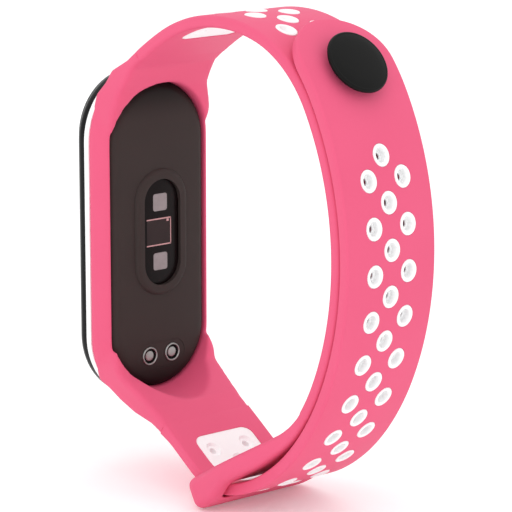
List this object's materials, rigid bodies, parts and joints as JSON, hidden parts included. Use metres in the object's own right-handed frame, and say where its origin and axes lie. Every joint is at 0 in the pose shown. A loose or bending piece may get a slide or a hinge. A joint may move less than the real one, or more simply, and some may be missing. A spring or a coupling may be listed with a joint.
{
  "type": "fitness tracker band",
  "caption": "Slim fitness tracker held in a two-colour perforated silicone wrist strap, closed by a snap stud and a keeper loop.",
  "frame": {"origin": "middle of the wrist opening", "axes": "+X from the tracker across the wrist to the clasp side, +Y along the forearm, across the strap, +Z along the tracker, from its charging contacts to its motor end"},
  "size_m": [0.058, 0.0206, 0.0689],
  "materials": {
    "pink_silicone": "soft matte silicone",
    "white_silicone": "soft matte silicone",
    "white_plastic": "satin",
    "black_metal": "glossy black coating",
    "housing": "fine satin",
    "dark_lens": "polished, smoky",
    "board": "solder resist",
    "led_package": "satin",
    "sensor_die": "polished",
    "black_plastic": "matte",
    "contact_metal": "satin",
    "seal_rubber": "matte",
    "gold_spring": "plated",
    "battery_foil": "soft foil",
    "chip": "moulded",
    "shield_tin": "satin",
    "flex_film": "film",
    "tungsten": "sintered",
    "display": "switched off",
    "black_glass": "polished cover glass, black behind"
  },
  "bodies": {
    "band": {"carrier_frame": "pink_silicone", "trim_ring": "white_plastic", "hole_strap": "pink_silicone", "hole_strap_lining": "white_silicone", "stud_strap": "pink_silicone", "stud_strap_lining": "white_silicone"},
    "strap_tip": {"stud_strap_tip": "pink_silicone", "stud_cap": "black_metal", "stud_post": "black_metal"},
    "tracker": {"rear_housing": "housing", "sensor_lens": "dark_lens", "sensor_board": "board", "sensor_leds": "led_package", "photodiode": "sensor_die", "light_barrier": "black_plastic", "charge_pins": "contact_metal", "charge_pin_seals": "seal_rubber", "charge_springs": "gold_spring", "battery": "battery_foil", "battery_pad": "black_plastic", "main_board": "board", "processor": "chip", "radio_can": "shield_tin", "antenna_strip": "flex_film", "motor_can": "shield_tin", "chassis": "black_plastic", "chassis_screws": "shield_tin", "display_panel": "display", "display_flex": "flex_film", "touch_pad": "black_plastic", "glass_gasket": "seal_rubber", "front_glass": "black_glass"},
    "motor_rotor": {"motor_shaft": "shield_tin", "motor_weight": "tungsten"}
  },
  "joints": [
    {"name": "strap_tip_flex", "type": "hinge", "parent": "band", "child": "strap_tip", "pos_m": [0.02268, 0, 0.02019], "axis": [0, 1, 0], "range_deg": [0, 40], "stiffness_Nm_per_rad": 0.002},
    {"name": "tracker_slide", "type": "slide", "parent": "band", "child": "tracker", "axis": [-1, 0, 0], "range_m": [0, 0.012]},
    {"name": "motor_spin", "type": "hinge", "parent": "tracker", "child": "motor_rotor", "pos_m": [-0.025, 0, 0.0158], "axis": [1, 0, 0], "continuous": true}
  ]
}
